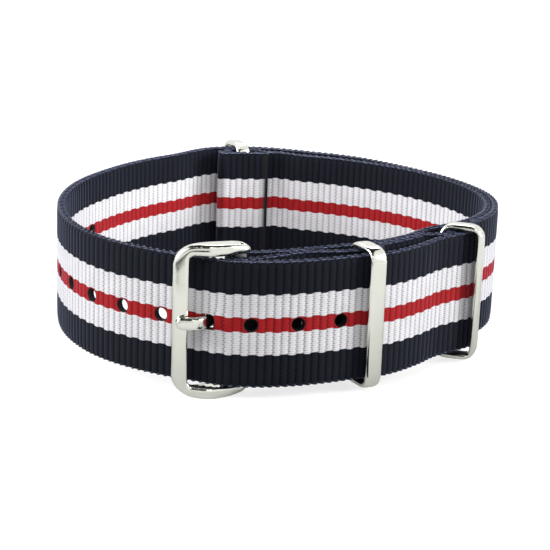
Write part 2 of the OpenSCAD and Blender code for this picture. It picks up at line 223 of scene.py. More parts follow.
@dataclass(frozen=True)
class WovenNylon:
    """Warp-faced nylon webbing, dyed in the yarn and woven over stiff weft ribs.

    The yarns of each rib dive between those of the next, which leaves a dotted zigzag line in
    every valley, and a stripe's edge waves by half a yarn's width over two ribs. The valleys, the
    dots in the gaps between the yarns and, faintly, those gaps on the crests are darkened with
    painted shade. Nylon yarn is matt face on and catches a cool sheen at a low angle. The hot knife
    and punch leave it dark and smooth along a cut; the same dark colour is painted as shade on the
    hole walls, on the ply behind the holes and as shadow beside a cut end. Widths of the melted
    rim are in millimetres, as its distances are.
    """

    weave: WeaveSizes
    width: float
    roughness: float = 0.8
    specular: float = 0.12
    sheen_roughness: float = 0.32
    sheen_tint: str = "b4c2ea"
    bump_depth: float = 0.08 * MM
    zigzag: float = 0.07
    dot_shade: float = -0.5
    # The colour of melted nylon, also used as painted shade in and behind the holes and as painted
    # shadow beside a cut end.
    melted: str = "19191b"
    melt_full: float = 0.048
    melt_width: float = 0.16

    def build(self) -> bpy.types.Material:
        """Makes the material from the webbing's own length and width coordinates.

        Returns:
            The material.
        """
        shader = Shader("woven_nylon_webbing")
        place = shader.add("Attribute", attribute_name="weave").outputs["Vector"]
        along, up, rim = shader.add("SeparateXYZ", {0: place}).outputs
        ribs = shader.math("DIVIDE", along, self.weave.rib / MM)
        turns = shader.math("MULTIPLY", ribs, math.pi)
        yarns = shader.math("DIVIDE", up, self.weave.warp / MM)
        tooth = shader.math("COSINE", shader.math("MULTIPLY", yarns, 2 * math.pi))
        crest = shader.span(tooth, -1.0, 0.3, 1.0, 0.85)
        ridge = self._ridge(shader, ribs, yarns)
        dot = self._dots(shader, ridge, turns, tooth)
        stripes = self._stripes(shader, turns, up)
        # Painted shade: faint in the gaps between the yarns on the crests, deeper down in the valleys
        # and in the dots. The cloud is the yarn's own uneven colour.
        cloud = shader.add("TexNoise", {"Vector": place, "Scale": 0.35, "Detail": 3.0}).outputs["Fac"]
        shade = shader.math("MULTIPLY", crest, shader.span(cloud, 0.3, 0.7, 0.94, 1.04))
        shade = shader.math("MULTIPLY", shade, self._valley_shade(shader, stripes, ridge))
        shade = shader.math("MULTIPLY", shade, shader.math("MULTIPLY_ADD", dot, self.dot_shade, 1.0))
        grey = shader.add("CombineXYZ", {0: shade, 1: shade, 2: shade}).outputs[0]
        dyed = shader.add("VectorMath", {0: stripes, 1: grey}, operation="MULTIPLY").outputs[0]
        # Melted cuts, and painted shade in and behind the holes and beside a cut end.
        melted = shader.span(rim, self.melt_full, self.melt_width, 1.0, 0.0)
        woven = shader.math("SUBTRACT", 1.0, melted)
        mix = {"Fac": melted, "Color1": dyed, "Color2": to_linear(self.melted)}
        height = shader.math("SUBTRACT", shader.math("MULTIPLY", crest, 0.6), dot)
        height = shader.math("MULTIPLY", height, woven)
        glow = shader.math("MULTIPLY", shader.span(ridge, 0.15, 0.9, 0.03, 0.6, smooth=True), crest)
        surface = shader.add(
            "BsdfPrincipled",
            {
                "Base Color": shader.add("MixRGB", mix).outputs[0],
                "Roughness": self.roughness,
                "Normal": shader.bump(height, self.bump_depth),
                "Specular IOR Level": self.specular,
                "IOR": NYLON_IOR,
                "Sheen Weight": shader.math("MULTIPLY", glow, woven),
                "Sheen Roughness": self.sheen_roughness,
                "Sheen Tint": to_linear(self.sheen_tint),
            },
        )
        return shader.finish(surface.outputs[0])

    def _ridge(
        self, shader: Shader, ribs: bpy.types.NodeSocket, yarns: bpy.types.NodeSocket
    ) -> bpy.types.NodeSocket:
        """Adds the height across a rib, from zero in its zigzag valley to one on its crest.

        Args:
            shader: The material's nodes.
            ribs: Place along, in ribs.
            yarns: Place up the width, in yarns.

        Returns:
            The height's socket.
        """
        side = shader.math("COSINE", shader.math("MULTIPLY", yarns, math.pi))
        swayed = shader.math("MULTIPLY_ADD", side, self.zigzag, ribs)
        return shader.math("ABSOLUTE", shader.math("SINE", shader.math("MULTIPLY", swayed, math.pi)))

    def _dots(
        self, shader: Shader, ridge: bpy.types.NodeSocket, turns: bpy.types.NodeSocket,
        tooth: bpy.types.NodeSocket,
    ) -> bpy.types.NodeSocket:
        """Adds the dots of painted shade in the gaps between the yarns in the valleys, fainter in every
        second valley.

        Args:
            shader: The material's nodes.
            ridge: Height across a rib.
            turns: Place along, as an angle of half a turn for each rib.
            tooth: A wave of one yarn's width.

        Returns:
            How dark the dot is, up to one.
        """
        valley = shader.span(ridge, 0.1, 0.6, 1.0, 0.0, smooth=True)
        depth = shader.math("MULTIPLY_ADD", shader.math("COSINE", turns), 0.15, 0.85)
        finger = shader.span(tooth, -0.3, 0.4, 0.04, 1.0)
        return shader.math("MULTIPLY", shader.math("MULTIPLY", valley, depth), finger)

    def _valley_shade(
        self, shader: Shader, stripes: bpy.types.NodeSocket, ridge: bpy.types.NodeSocket
    ) -> bpy.types.NodeSocket:
        """Adds the shade down in the valleys, which is deeper between dark yarns.

        Args:
            shader: The material's nodes.
            stripes: The yarns' colour.
            ridge: Height across a rib.

        Returns:
            The shade, up to one on a crest.
        """
        bright = shader.add("RGBToBW", {0: stripes}).outputs[0]
        deepest = shader.span(bright, 0.01, 0.07, 0.3, 0.86)
        lift = shader.math("SUBTRACT", 1.0, deepest)
        lift = shader.math("MULTIPLY", lift, shader.span(ridge, 0.1, 0.8, 0.0, 1.0))
        return shader.math("ADD", deepest, lift)

    def _stripes(
        self, shader: Shader, turns: bpy.types.NodeSocket, up: bpy.types.NodeSocket
    ) -> bpy.types.NodeSocket:
        """Picks the yarn colour by place up the width, with boundaries that wave over the ribs.

        Args:
            shader: The material's nodes.
            turns: Place along, as an angle of half a turn for each rib.
            up: Place up the width, in millimetres.

        Returns:
            The colour socket.
        """
        sway = shader.math("TANH", shader.math("MULTIPLY", shader.math("SINE", turns), 1.8))
        waved = shader.math("MULTIPLY_ADD", sway, self.weave.boundary_wave / MM, up)
        ramp = shader.add("ValToRGB", {"Fac": shader.math("DIVIDE", waved, self.width / MM)})
        ramp.color_ramp.interpolation = "CONSTANT"
        edge = self.weave.edge_stripe / self.width
        red = self.weave.red_stripe / self.width / 2
        stops = [
            (0.0, Stripe.NAVY), (edge, Stripe.WHITE), (0.5 - red, Stripe.RED),
            (0.5 + red, Stripe.WHITE), (1 - edge, Stripe.NAVY),
        ]
        elements = ramp.color_ramp.elements
        while len(elements) < len(stops):
            elements.new(0.5)
        for element, (position, stripe) in zip(elements, stops):
            element.position = position
            element.color = to_linear(stripe.value)
        return ramp.outputs[0]


@dataclass(frozen=True)
class EdgeYarn:
    """Bright twisted nylon yarn along the edges: navy, smooth enough to glint at every turn, with a
    painted highlight where each turn crosses the edge.
    """

    dark: str = "0b0e19"
    # light is the colour of the painted highlight where a strand turns over the edge.
    light: str = "4e5474"
    roughness: float = 0.36
    specular: float = 0.3
    sheen: float = 0.3
    sheen_roughness: float = 0.4
    sheen_tint: str = "b9c3e8"

    def build(self) -> bpy.types.Material:
        """Makes the material, with fine filaments along the yarn and a painted highlight on its upper
        turns.

        Returns:
            The material.
        """
        shader = Shader("twisted_nylon_edge_yarn")
        place = shader.add("Attribute", attribute_name="weave").outputs["Vector"]
        painted_highlight = shader.add("SeparateXYZ", {0: place}).outputs[2]
        fibres = shader.add("TexNoise", {"Vector": place, "Scale": 5.0, "Detail": 2.0}).outputs["Fac"]
        fine = shader.span(fibres, 0.3, 0.7, 0.4, 1.0)
        # Painted highlight, lightest where a strand turns over the edge.
        light = shader.math("MULTIPLY", fine, shader.span(painted_highlight, 0.15, 0.9, 0.0, 1.0))
        mix = {"Fac": light, "Color1": to_linear(self.dark), "Color2": to_linear(self.light)}
        surface = shader.add(
            "BsdfPrincipled",
            {
                "Base Color": shader.add("MixRGB", mix).outputs[0],
                "Roughness": self.roughness,
                "Normal": shader.bump(fibres, 0.05 * MM, 0.6),
                "IOR": NYLON_IOR,
                "Specular IOR Level": self.specular,
                "Sheen Weight": self.sheen,
                "Sheen Roughness": self.sheen_roughness,
                "Sheen Tint": to_linear(self.sheen_tint),
            },
        )
        return shader.finish(surface.outputs[0])


@dataclass(frozen=True)
class Steel:
    """Stainless steel, pressed or bent from strip and finished on a wheel.

    Fine wheel marks widen the highlights a little, faint handling marks break them up, and the
    pressed surface is slightly wavy. The scales of the three noises are per metre.
    """

    name: str
    colour: str
    roughness: float
    marks: float
    waves: float = 0.0
    wheel_scale: tuple[float, float, float] = (900.0, 900.0, 12000.0)
    handling_scale: float = 420.0
    wave_scale: float = 260.0

    def build(self) -> bpy.types.Material:
        """Makes the material from object coordinates in real size.

        Returns:
            The material.
        """
        shader = Shader(self.name)
        place = shader.add("TexCoord").outputs["Object"]
        lay = shader.add("Mapping", {"Vector": place, "Scale": self.wheel_scale}).outputs[0]
        wheel = shader.add("TexNoise", {"Vector": lay, "Scale": 1.0, "Detail": 3.0}).outputs["Fac"]
        handled = {"Vector": place, "Scale": self.handling_scale, "Detail": 5.0}
        wear = shader.add("TexNoise", handled).outputs["Fac"]
        rough = shader.math("MULTIPLY_ADD", wheel, self.marks, self.roughness)
        rough = shader.math("ADD", rough, shader.span(wear, 0.45, 0.75, 0.0, 0.1))
        wavy = {"Vector": place, "Scale": self.wave_scale, "Detail": 1.0}
        soft = shader.add("TexNoise", wavy).outputs["Fac"]
        waves = shader.bump(soft, 0.35 * MM, self.waves)
        surface = shader.add(
            "BsdfPrincipled",
            {
                "Base Color": to_linear(self.colour),
                "Metallic": 1.0,
                "Roughness": rough,
                "Normal": shader.bump(wheel, 0.01 * MM, 0.2, Normal=waves),
            },
        )
        return shader.finish(surface.outputs[0])


POLISHED_STEEL = Steel("polished_stainless_steel", "e4e5db", 0.08, 0.08, 0.15)
SATIN_STEEL = Steel("satin_stainless_steel", "c9c9c6", 0.3, 0.15)
SPRING_STEEL = Steel("drawn_spring_wire", "9b9a98", 0.35, 0.1)


def smooth_curve(steps: np.ndarray, values: np.ndarray, at: np.ndarray) -> np.ndarray:
    """Natural cubic curve through values at rising steps.

    Args:
        steps: Where the values lie, rising.
        values: One row for each step.
        at: Where the curve is wanted.

    Returns:
        The curve's values, one row for each place in at.
    """
    gaps = np.diff(steps)
    slopes = np.diff(values, axis=0) / gaps[:, None]
    count = len(steps)
    system = np.eye(count)
    right = np.zeros_like(values)
    for i in range(1, count - 1):
        system[i, i - 1 : i + 2] = gaps[i - 1], 2 * (gaps[i - 1] + gaps[i]), gaps[i]
        right[i] = 6 * (slopes[i] - slopes[i - 1])
    bend = np.linalg.solve(system, right)
    index = np.clip(np.searchsorted(steps, at) - 1, 0, count - 2)
    gap = gaps[index][:, None]
    a = (steps[index + 1] - at)[:, None]
    b = (at - steps[index])[:, None]
    return (
        (bend[index] * a**3 + bend[index + 1] * b**3) / (6 * gap)
        + (values[index] / gap - bend[index] * gap / 6) * a
        + (values[index + 1] / gap - bend[index + 1] * gap / 6) * b
    )


@dataclass(frozen=True)
class Opening:
    """A hole through the webbing, as a rounded box on the strap's own length and width."""

    along: float
    up: float
    half_along: float
    half_up: float
    corner: float

    def reach(self, along: np.ndarray, up: np.ndarray) -> tuple[np.ndarray, np.ndarray, np.ndarray]:
        """Signed distance to the hole's edge, negative inside, and the way out.

        Args:
            along: Places along the strap.
            up: Places up the width.

        Returns:
            The distance and the two parts of the outward direction.
        """
        x, y = along - self.along, up - self.up
        qx = np.abs(x) - (self.half_along - self.corner)
        qy = np.abs(y) - (self.half_up - self.corner)
        outside = np.hypot(np.maximum(qx, 0), np.maximum(qy, 0))
        distance = outside + np.minimum(np.maximum(qx, qy), 0) - self.corner
        round_part = (qx > 0) & (qy > 0)
        length = np.where(outside > 0, outside, 1)
        gx = np.where(round_part, qx / length, qx > qy) * np.sign(x)
        gy = np.where(round_part, qy / length, qx <= qy) * np.sign(y)
        return distance, gx, gy


@dataclass(frozen=True)
class PlyLine:
    """The middle line of a ply of webbing, read from its CAD solid."""

    steps: np.ndarray
    points: np.ndarray
    thickness: float
    low: float
    high: float

    @classmethod
    def of_node(cls, name: str) -> "PlyLine":
        """Reads the outline of the solid's top edge and pairs its two long sides.

        Args:
            name: The CAD node's name.

        Returns:
            The middle line, from one cut end to the other.
        """
        loop, low, high = top_outline(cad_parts[name])
        ahead = np.roll(loop, -1, 0) - loop
        ahead /= np.linalg.norm(ahead, axis=1)[:, None]
        sharpest = math.cos(math.radians(60))
        turned = np.abs(np.sum(ahead * np.roll(ahead, 1, 0), axis=1)) < sharpest
        corners = np.flatnonzero(turned)
        gaps = np.diff(np.append(corners, corners[0] + len(loop)))
        start = corners[int(np.argmax(gaps))]
        count = int(gaps.max()) + 1
        loop = np.roll(loop, -start, 0)
        one, other = loop[:count], loop[count:][::-1]
        middle = (one + other) / 2
        steps = np.insert(np.cumsum(np.linalg.norm(np.diff(middle, axis=0), axis=1)), 0, 0)
        thickness = float(np.median(np.linalg.norm(one - other, axis=1)))
        return cls(steps, middle, thickness, low, high)

    @property
    def length(self) -> float:
        """Length from one cut end to the other."""
        return float(self.steps[-1])

    def at(self, along: np.ndarray) -> tuple[np.ndarray, np.ndarray]:
        """Places on the line and the unit direction to its left.

        Args:
            along: Distances along the line.

        Returns:
            Plan points and plan directions, with the shape of along and one axis more.
        """
        flat = np.clip(along.ravel(), 0, self.length)
        nudge = 0.05 * MM
        place = smooth_curve(self.steps, self.points, flat)
        ahead = smooth_curve(self.steps, self.points, np.clip(flat + nudge, 0, self.length))
        behind = smooth_curve(self.steps, self.points, np.clip(flat - nudge, 0, self.length))
        way = ahead - behind
        way /= np.linalg.norm(way, axis=1)[:, None]
        left = np.stack([-way[:, 1], way[:, 0]], axis=1)
        shape = along.shape + (2,)
        return place.reshape(shape), left.reshape(shape)

    def openings(self, name: str) -> list[Opening]:
        """Finds the holes in the solid from the corners that lie away from its long edges.

        Args:
            name: The CAD node's name.

        Returns:
            One opening for each hole, in order along the line.
        """
        corners = node_corners(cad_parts[name])
        margin, step, touch, hole_gap, least_half = 1 * MM, 0.1 * MM, 0.02 * MM, 1.2 * MM, 0.5 * MM
        away_from_edge = (corners[:, 2] > self.low + margin) & (corners[:, 2] < self.high - margin)
        inner = corners[away_from_edge]
        if not len(inner):
            return []
        fine = np.linspace(0, self.length, int(self.length / step))
        line, _ = self.at(fine)
        away = [np.linalg.norm(line - c[:2], axis=1) for c in inner]
        on_face = np.array([abs(a.min() - self.thickness / 2) < touch for a in away])
        inner = inner[on_face]
        along = np.array([fine[np.argmin(a)] for a, on in zip(away, on_face) if on])
        order = np.argsort(along)
        groups = np.split(order, np.flatnonzero(np.diff(along[order]) > hole_gap) + 1)
        found = []
        for group in groups:
            low, high = along[group].min(), along[group].max()
            bottom, top = inner[group, 2].min(), inner[group, 2].max()
            half_along, half_up = (high - low) / 2, (top - bottom) / 2
            if half_along > least_half:
                corner = min(half_along, half_up) * ROUNDED
                found.append(Opening((low + high) / 2, (bottom + top) / 2, half_along, half_up, corner))
        return found


def node_corners(node: bpy.types.Object) -> np.ndarray:
    """The corners of a CAD node's mesh, as rows of x, y and z."""
    flat = np.empty(len(node.data.vertices) * 3)
    node.data.vertices.foreach_get("co", flat)
    return flat.reshape(-1, 3)


def top_outline(node: bpy.types.Object) -> tuple[np.ndarray, float, float]:
    """Follows the outline of a prism's top face.

    Args:
        node: A CAD node that was drawn in plan and extruded upwards.

    Returns:
        The outline's plan points in order, and the prism's lowest and highest z.
    """
    corners = node_corners(node)
    low, high = float(corners[:, 2].min()), float(corners[:, 2].max())
    per_metre, level = 1e7, 1e-6
    keys: dict[tuple[int, ...], int] = {}
    index = [keys.setdefault(tuple(k), len(keys)) for k in np.round(corners * per_metre).astype(int)]
    places = np.array(list(keys)) / per_metre
    seen: dict[tuple[int, int], int] = {}
    for polygon in node.data.polygons:
        ring = list(polygon.vertices)
        if min(corners[v, 2] for v in ring) < high - level:
            continue
        for a, b in zip(ring, ring[1:] + ring[:1]):
            edge = (min(index[a], index[b]), max(index[a], index[b]))
            seen[edge] = seen.get(edge, 0) + 1
    beside: dict[int, list[int]] = {}
    for (a, b), times in seen.items():
        if times == 1:
            beside.setdefault(a, []).append(b)
            beside.setdefault(b, []).append(a)
    first = min(beside)
    loop, last = [first], beside[first][0]
    while last != first:
        onward = [n for n in beside[last] if n != loop[-1]][0]
        loop.append(last)
        last = onward
    return places[loop, :2], low, high


def quads_of(rows: np.ndarray) -> np.ndarray:
    """Quads between the points of a grid of vertex numbers."""
    a, b, c, d = rows[:-1, :-1], rows[1:, :-1], rows[1:, 1:], rows[:-1, 1:]
    return np.stack([a, b, c, d], axis=-1).reshape(-1, 4)


def make_mesh(
    name: str, corners: np.ndarray, faces: np.ndarray, weave: np.ndarray, material: bpy.types.Material
) -> bpy.types.Object:
    """Makes a smooth mesh that carries the weave coordinates.

    Args:
        name: The piece's name.
        corners: Rows of x, y and z.
        faces: Rows of four corner numbers.
        weave: Rows of place along, place up and distance to a melted edge or to painted shade, in
            millimetres.
        material: The finish.

    Returns:
        The new object, linked to the scene.
    """
    mesh = bpy.data.meshes.new(name)
    mesh.from_pydata(corners.tolist(), [], faces.tolist())
    place = mesh.attributes.new("weave", "FLOAT_VECTOR", "POINT")
    place.data.foreach_set("vector", weave.astype(np.float32).ravel())
    mesh.polygons.foreach_set("use_smooth", np.ones(len(mesh.polygons), dtype=bool))
    mesh.materials.append(material)
    mesh.update()
    made = bpy.data.objects.new(name, mesh)
    bpy.context.collection.objects.link(made)
    return made


@dataclass
class Ply:
    """One ply of woven webbing: ribbed faces, melted holes and ends, and a cord on each edge.

    Melting thins the webbing by melt_share near a cut and darkens it. A cut end is dark for
    end_melt_and_shadow times as far as a hole's rim: the melted end, widened by painted shadow
    beside it. Painted shade darkens the ply behind the holes, up to hole_shade_reach past their
    edge, where it lies within hole_shade_depth of them. The tongue has drawn the outer face over
    its hole by tongue_pull, which fades over pull_reach. A rib swells as a sine to the power
    rib_power, and meets the solid's face at rib_level of its height. Of a cord's two strands the
    second has second_strand_highlight of the first one's painted highlight.
    """

    node: str
    weave: WeaveSizes
    cloth: bpy.types.Material
    yarn: bpy.types.Material
    melt_share: float = 0.14
    melt_reach: float = 0.2 * MM
    # A cut end's dark band is the melted end, widened with painted shadow beside it.
    end_melt_and_shadow: float = 8.5
    hole_shade_reach: float = 1.6 * MM
    hole_shade_depth: float = 4.5 * MM
    tongue_pull: float = 0.55 * MM
    pull_reach: float = 1.3 * MM
    rib_power: float = 0.7
    rib_level: float = 0.62
    second_strand_highlight: float = 0.35
    line: PlyLine = field(init=False)

    def __post_init__(self) -> None:
        """Reads the middle line from the CAD solid."""
        self.line = PlyLine.of_node(self.node)

    def build(self) -> list[bpy.types.Object]:
        """Makes the webbing and its edge cords, riding on the strap's body."""
        pieces = [self._cloth(), self._cords()]
        for piece in pieces:
            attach(piece, "strap")
        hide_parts(self.node)
        for piece in pieces:
            LOG.info("%s: %d faces", piece.name, len(piece.data.polygons))
        return pieces

    def _painted_hole_shade(
        self, openings: list[Opening], along: np.ndarray, place: np.ndarray, up: np.ndarray
    ) -> np.ndarray:
        """Distance to the painted shade on a ply behind the holes.

        Args:
            openings: The ply's holes.
            along: Places along the ply.
            place: Plan points of one face.
            up: Places up the width.

        Returns:
            The distance at each point, and FAR where no painted shade is near.
        """
        gap = np.full(along.shape, FAR)
        for opening in openings:
            centre, left = self.line.at(np.array([opening.along]))
            offset = place - centre[0]
            depth = np.abs(offset @ left[0])
            across = offset @ np.array([left[0][1], -left[0][0]])
            behind = (opening.along - along > self.hole_shade_depth) & (depth < self.hole_shade_depth)
            far = np.hypot(across, up - opening.up) - opening.half_up - self.hole_shade_reach
            gap = np.where(behind, np.minimum(gap, np.maximum(far, 0)), gap)
        return gap

    def _pull(self, openings: list[Opening], along: np.ndarray, up: np.ndarray) -> np.ndarray:
        """How far the webbing's outer face creeps back over the hole that the tongue has drawn out.

        Args:
            openings: The ply's holes.
            along: Places along the ply.
            up: Places up the width.

        Returns:
            The shift towards the hole, largest at its far rim.
        """
        pull, drawn = np.zeros(along.shape), 0.1 * MM
        for opening in openings:
            longer = opening.half_along > opening.half_up + drawn
            if longer and opening.along > self.line.length / 2:
                distance, way, _ = opening.reach(along, up)
                fade = np.exp(-((np.maximum(distance, 0) / self.pull_reach) ** 2))
                pull += self.tongue_pull * np.maximum(way, 0) * fade
        return pull

    def _relief(self, along: np.ndarray) -> np.ndarray:
        """Height of the ribs over the solid's face."""
        ridge = np.abs(np.sin(np.pi * along / self.weave.rib)) ** self.rib_power
        return (ridge - self.rib_level) * self.weave.relief

    def _cloth(self) -> bpy.types.Object:
        """Weaves the two faces, with the holes cut through both."""
        line, weave = self.line, self.weave
        step = weave.rib / weave.steps_per_rib
        count = int(line.length / step)
        along, up = np.meshgrid(
            np.append(np.arange(count) * step, line.length),
            np.linspace(line.low + weave.edge_inset, line.high - weave.edge_inset, weave.rows),
            indexing="ij",
        )
        snap = 1.5 * max(step, (line.high - line.low) / weave.rows)
        inside = np.zeros(along.shape, dtype=bool)
        rim = np.full(along.shape, FAR)
        openings = line.openings(self.node)
        LOG.info("%s: %d holes", self.node, len(openings))
        for opening in openings:
            distance, way_along, way_up = opening.reach(along, up)
            inside |= distance < 0
            near = (distance < 0) & (distance > -snap)
            along = np.where(near, along - distance * way_along, along)
            up = np.where(near, up - distance * way_up, up)
            rim = np.minimum(rim, np.maximum(distance, 0))
        ends = np.minimum(along, line.length - along)
        melt = np.exp(-((rim / self.melt_reach) ** 2))
        blunt = np.exp(-((ends / self.melt_reach) ** 2))
        edge = np.minimum(up - line.low, line.high - up)
        thin = weave.edge_thinning * np.exp(-((edge / weave.edge_reach) ** 2))
        half = line.thickness / 2 - thin
        half = half * (1 - self.melt_share * np.maximum(melt, blunt))
        half = half + self._relief(along) * (1 - melt) * (1 - blunt)
        place, left = line.at(along)
        outer_place, outer_left = line.at(along - self._pull(openings, along, up))
        faces_up = [
            np.concatenate([middle + side * half[..., None] * way, up[..., None]], axis=2)
            for middle, way, side in ((place, left, 1), (outer_place, outer_left, -1))
        ]
        corners = np.concatenate([f.reshape(-1, 3) for f in faces_up])
        number = np.arange(along.size).reshape(along.shape)
        other = number + along.size
        solid = ~(inside[:-1, :-1] & inside[1:, :-1] & inside[1:, 1:] & inside[:-1, 1:])
        quads = quads_of(number)[solid.ravel()]
        faces = [quads[:, ::-1], quads_of(other)[solid.ravel()]]
        faces.append(self._walls(number, other, solid))
        # The third weave coordinate: distance to a melted rim, to the painted shadow at a cut end, and
        # to the painted shade behind the holes.
        dark = np.minimum(rim, ends / self.end_melt_and_shadow)
        dark = np.minimum(dark, self._painted_hole_shade(openings, along, place, up)) / MM
        coordinates = np.stack([along / MM, (up - line.low) / MM, dark], axis=-1).reshape(-1, 3)
        return make_mesh(
            self.node + "_webbing", corners, np.concatenate(faces),
            np.concatenate([coordinates] * 2), self.cloth,
        )

    def _walls(self, one: np.ndarray, other: np.ndarray, solid: np.ndarray) -> np.ndarray:
        """Quads that join the two faces round the outline and round each hole.

        Args:
            one: Vertex numbers of the first face.
            other: Vertex numbers of the second face.
            solid: Which cells of the grid are there.

        Returns:
            Rows of four vertex numbers.
        """
        padded = np.pad(solid, 1)
        walls = []
        for axis in (0, 1):
            change = np.diff(padded.astype(int), axis=axis)
            keep = change[:, 1:-1] if axis == 0 else change[1:-1, :]
            for sign in (1, -1):
                i, j = np.nonzero(keep == sign)
                ends = (i, j + 1) if axis == 0 else (i + 1, j)
                a, b = one[i, j], one[ends]
                c, d = other[ends], other[i, j]
                ring = [a, b, c, d] if (sign == 1) == (axis == 0) else [d, c, b, a]
                walls.append(np.stack(ring, axis=-1))
        return np.concatenate(walls)

    def _cords(self) -> bpy.types.Object:
        """Twists two strands of yarn along each edge, one turn every two ribs."""
        line, weave = self.line, self.weave
        along = np.linspace(0, line.length, int(line.length / weave.rib * weave.cord_rings))
        place, left = line.at(along)
        ahead = np.stack([-left[:, 1], left[:, 0]], axis=1)
        swing, rise = line.thickness / 2 - weave.cord_strand, weave.cord_rise
        angle = np.arange(weave.cord_sides) * 2 * np.pi / weave.cord_sides
        wide = weave.cord_strand * weave.cord_bulge * np.cos(angle)[None, :, None]
        tall = weave.cord_strand * np.sin(angle)[None, :, None] * np.array([0.0, 0.0, 1.0])
        corners, faces, coordinates = [], [], []
        for strand, (edge, outward) in enumerate(
            ((line.low, -1), (line.low, -1), (line.high, 1), (line.high, 1))
        ):
            turn = np.pi * along / weave.rib + strand % 2 * np.pi
            height = edge - outward * (weave.cord_strand + rise) + outward * rise * np.sin(turn)
            flat = place + (swing * np.cos(turn))[:, None] * left
            centre = np.concatenate([flat, height[:, None]], axis=1)
            slant = -swing * np.pi / weave.rib * np.sin(turn)
            way = np.pad(ahead + slant[:, None] * left, ((0, 0), (0, 1)))
            way /= np.linalg.norm(way, axis=1)[:, None]
            across = np.cross(way, [0.0, 0.0, 1.0])
            ring = centre[:, None, :] + wide * across[:, None, :] + tall
            number = (strand * len(along) + np.arange(len(along)))[:, None] * len(angle)
            number = number + np.arange(len(angle) + 1) % len(angle)
            # Painted highlight: lightest where the strand turns over the edge, dimmer on the second
            # strand.
            painted_highlight = (0.5 + 0.5 * np.sin(turn)) * (1.0, self.second_strand_highlight)[strand % 2]
            corners.append(ring.reshape(-1, 3))
            faces.append(quads_of(number))
            coordinates.append(
                np.stack(
                    [
                        np.repeat(along / MM, len(angle)),
                        np.tile(angle, len(along)),
                        np.repeat(painted_highlight, len(angle)),
                    ],
                    axis=1,
                )
            )
        return make_mesh(
            self.node + "_edge_cords", np.concatenate(corners), np.concatenate(faces),
            np.concatenate(coordinates), self.yarn,
        )


@dataclass
class Hardware:
    """A steel piece that keeps its CAD shape, with its edges worn round by polishing.

    The grain is the size of the cells that the solid is rebuilt in. More passes round the edges
    more, and regain gives back what the passes take off.
    """

    node: str
    body: str
    slot: str
    steel: Steel
    grain: float = 0.15 * MM
    passes: int = 16
    regain: float = 0.03 * MM

    def build(self) -> bpy.types.Object:
        """Rebuilds the CAD solid in fine cells, wears its edges round and dresses it.

        Returns:
            The piece, which stands for its CAD node.
        """
        piece = bpy.data.objects.new(self.node + "_polished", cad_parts[self.node].data.copy())
        bpy.context.collection.objects.link(piece)
        cells = piece.modifiers.new("cells", "REMESH")
        cells.mode, cells.voxel_size = "VOXEL", self.grain
        graph = bpy.context.evaluated_depsgraph_get()
        fine = bpy.data.meshes.new_from_object(piece.evaluated_get(graph))
        piece.modifiers.clear()
        piece.data = fine
        shape = bmesh.new()
        shape.from_mesh(fine)
        for _ in range(self.passes):
            bmesh.ops.smooth_vert(
                shape, verts=shape.verts, factor=0.5, use_axis_x=True, use_axis_y=True, use_axis_z=True
            )
        shape.normal_update()
        regain = [vertex.normal * self.regain for vertex in shape.verts]
        for vertex, shift in zip(shape.verts, regain):
            vertex.co += shift
        for face in shape.faces:
            face.smooth = True
        shape.to_mesh(fine)
        shape.free()
        fine.materials.clear()
        fine.materials.append(self.steel.build())
        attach(piece, self.body)
        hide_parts(self.node)
        LOG.info("%s: %d faces", piece.name, len(fine.polygons))
        return piece


